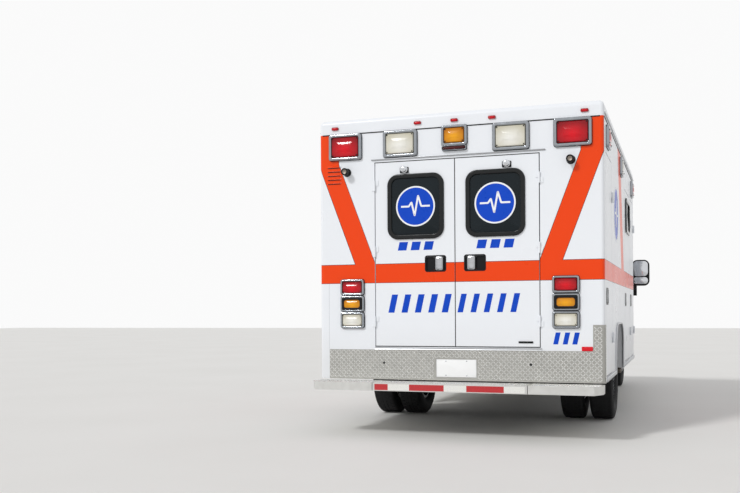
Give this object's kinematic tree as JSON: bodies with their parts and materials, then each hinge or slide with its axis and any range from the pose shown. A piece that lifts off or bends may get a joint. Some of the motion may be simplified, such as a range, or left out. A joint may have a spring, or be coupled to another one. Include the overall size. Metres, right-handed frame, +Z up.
{
  "type": "modular box ambulance on a cutaway van chassis",
  "caption": "Box-bodied ambulance with rear and side doors, outside lockers, warning lamps, a folding rear step and twin rear wheels on a van cab chassis.",
  "frame": {"origin": "on the ground under the middle of the whole length", "axes": "+X to the front of the vehicle, +Y to its left, +Z up"},
  "size_m": [6.7, 2.744, 2.725],
  "materials": {
    "body_white": "gloss",
    "frame_black": "satin",
    "cast_iron": "rough",
    "aluminised_steel": "dull",
    "chrome": "polished",
    "wheel_chrome": "polished",
    "lens_clear": "gloss",
    "lens_red": "gloss",
    "lens_amber": "gloss",
    "tinted_glass": "gloss",
    "vinyl_grey": "satin",
    "vinyl_blue": "satin",
    "dash_plastic": "matte",
    "black_plastic": "satin",
    "floor_vinyl": "satin",
    "cabinet_laminate": "satin",
    "diamond_plate": "bright",
    "tyre": "matte"
  },
  "bodies": {
    "chassis": {"chassis_frame": "frame_black", "front_axle": "cast_iron", "rear_axle": "cast_iron", "powertrain": "cast_iron", "fuel_tank": "frame_black", "exhaust": "aluminised_steel", "cab_shell": "body_white", "front_bumper": "chrome", "grille": "chrome", "headlamps": "lens_clear", "windshield": "tinted_glass", "cab_seats": "vinyl_grey", "dashboard": "dash_plastic", "module_floor": "floor_vinyl", "module_left_wall": "body_white", "module_right_wall": "body_white", "module_rear_wall": "body_white", "module_front_wall": "body_white", "module_roof": "body_white", "cabinets_left": "cabinet_laminate", "cabinets_right": "cabinet_laminate", "patient_seats": "vinyl_blue", "lamp_bezels": "chrome", "red_lenses": "lens_red", "amber_lenses": "lens_amber", "clear_lenses": "lens_clear", "rear_step": "diamond_plate", "diamond_plates": "diamond_plate"},
    "knuckle_left": {"knuckle_left": "cast_iron"},
    "knuckle_right": {"knuckle_right": "cast_iron"},
    "front_wheel_left": {"front_rim_left": "wheel_chrome", "front_tyre_left": "tyre"},
    "front_wheel_right": {"front_rim_right": "wheel_chrome", "front_tyre_right": "tyre"},
    "rear_wheels_left": {"rear_rims_left": "wheel_chrome", "rear_tyres_left": "tyre"},
    "rear_wheels_right": {"rear_rims_right": "wheel_chrome", "rear_tyres_right": "tyre"},
    "hood": {"hood": "body_white"},
    "cab_door_left": {"cab_door_left": "body_white", "cab_window_left": "tinted_glass", "mirror_left": "black_plastic"},
    "cab_door_right": {"cab_door_right": "body_white", "cab_window_right": "tinted_glass", "mirror_right": "black_plastic"},
    "rear_door_left": {"rear_door_left": "body_white", "rear_window_left": "tinted_glass"},
    "rear_door_right": {"rear_door_right": "body_white", "rear_window_right": "tinted_glass"},
    "side_door": {"side_door": "body_white", "side_window": "tinted_glass"},
    "steering_wheel": {"steering_wheel": "black_plastic"},
    "flip_step": {"flip_step": "diamond_plate"},
    "locker_door_right_rear": {"locker_door_right_rear": "body_white"},
    "locker_door_right_front": {"locker_door_right_front": "body_white"},
    "locker_door_left_front": {"locker_door_left_front": "body_white"},
    "locker_door_left_middle": {"locker_door_left_middle": "body_white"},
    "locker_door_left_rear": {"locker_door_left_rear": "body_white"}
  },
  "joints": [
    {"name": "steer_left", "type": "hinge", "parent": "chassis", "child": "knuckle_left", "pos_m": [2.578, 0.75, 0.372], "axis": [0, 0, 1], "range_deg": [-32, 32]},
    {"name": "steer_right", "type": "hinge", "parent": "chassis", "child": "knuckle_right", "pos_m": [2.578, -0.75, 0.372], "axis": [0, 0, 1], "range_deg": [-32, 32]},
    {"name": "steering_wheel_turn", "type": "hinge", "parent": "chassis", "child": "steering_wheel", "pos_m": [1.93, 0.43, 1.31], "axis": [-0.7659, 0, 0.6429], "range_deg": [-550, 550]},
    {"name": "front_wheel_left_spin", "type": "hinge", "parent": "knuckle_left", "child": "front_wheel_left", "pos_m": [2.578, 0.881, 0.372], "axis": [0, 1, 0], "continuous": true},
    {"name": "rear_wheels_left_spin", "type": "hinge", "parent": "chassis", "child": "rear_wheels_left", "pos_m": [-1.435, 0.935, 0.372], "axis": [0, 1, 0], "continuous": true},
    {"name": "front_wheel_right_spin", "type": "hinge", "parent": "knuckle_right", "child": "front_wheel_right", "pos_m": [2.578, -0.881, 0.372], "axis": [0, 1, 0], "continuous": true},
    {"name": "rear_wheels_right_spin", "type": "hinge", "parent": "chassis", "child": "rear_wheels_right", "pos_m": [-1.435, -0.935, 0.372], "axis": [0, 1, 0], "continuous": true},
    {"name": "hood_hinge", "type": "hinge", "parent": "chassis", "child": "hood", "pos_m": [2.428, 0, 1.302], "axis": [0, -1, 0], "range_deg": [0, 50]},
    {"name": "cab_door_left_hinge", "type": "hinge", "parent": "chassis", "child": "cab_door_left", "pos_m": [2.175, 1.019, 1.2], "axis": [0, 0, -1], "range_deg": [0, 65]},
    {"name": "rear_door_left_hinge", "type": "hinge", "parent": "chassis", "child": "rear_door_left", "pos_m": [-3.082, 0.706, 1.5], "axis": [0, 0, -1], "range_deg": [0, 155]},
    {"name": "cab_door_right_hinge", "type": "hinge", "parent": "chassis", "child": "cab_door_right", "pos_m": [2.175, -1.019, 1.2], "axis": [0, 0, 1], "range_deg": [0, 65]},
    {"name": "rear_door_right_hinge", "type": "hinge", "parent": "chassis", "child": "rear_door_right", "pos_m": [-3.082, -0.706, 1.5], "axis": [0, 0, 1], "range_deg": [0, 155]},
    {"name": "side_door_hinge", "type": "hinge", "parent": "chassis", "child": "side_door", "pos_m": [0.286, -1.231, 1.2], "axis": [0, 0, 1], "range_deg": [0, 90]},
    {"name": "locker_door_right_rear_hinge", "type": "hinge", "parent": "chassis", "child": "locker_door_right_rear", "pos_m": [-2.334, -1.231, 1.2], "axis": [0, 0, 1], "range_deg": [0, 95]},
    {"name": "locker_door_right_front_hinge", "type": "hinge", "parent": "chassis", "child": "locker_door_right_front", "pos_m": [0.976, -1.231, 1.2], "axis": [0, 0, 1], "range_deg": [0, 95]},
    {"name": "locker_door_left_front_hinge", "type": "hinge", "parent": "chassis", "child": "locker_door_left_front", "pos_m": [0.976, 1.231, 1.2], "axis": [0, 0, -1], "range_deg": [0, 95]},
    {"name": "locker_door_left_middle_hinge", "type": "hinge", "parent": "chassis", "child": "locker_door_left_middle", "pos_m": [0.056, 1.231, 1.2], "axis": [0, 0, -1], "range_deg": [0, 95]},
    {"name": "locker_door_left_rear_hinge", "type": "hinge", "parent": "chassis", "child": "locker_door_left_rear", "pos_m": [-2.224, 1.231, 1.2], "axis": [0, 0, -1], "range_deg": [0, 95]},
    {"name": "flip_step_hinge", "type": "hinge", "parent": "chassis", "child": "flip_step", "pos_m": [-3.139, 0, 0.421], "axis": [0, 1, 0], "range_deg": [0, 90]}
  ],
  "couplings": [
    {"joint": "steer_right", "follows": "steer_left", "ratio": 1},
    {"joint": "steering_wheel_turn", "follows": "steer_left", "ratio": 17}
  ]
}
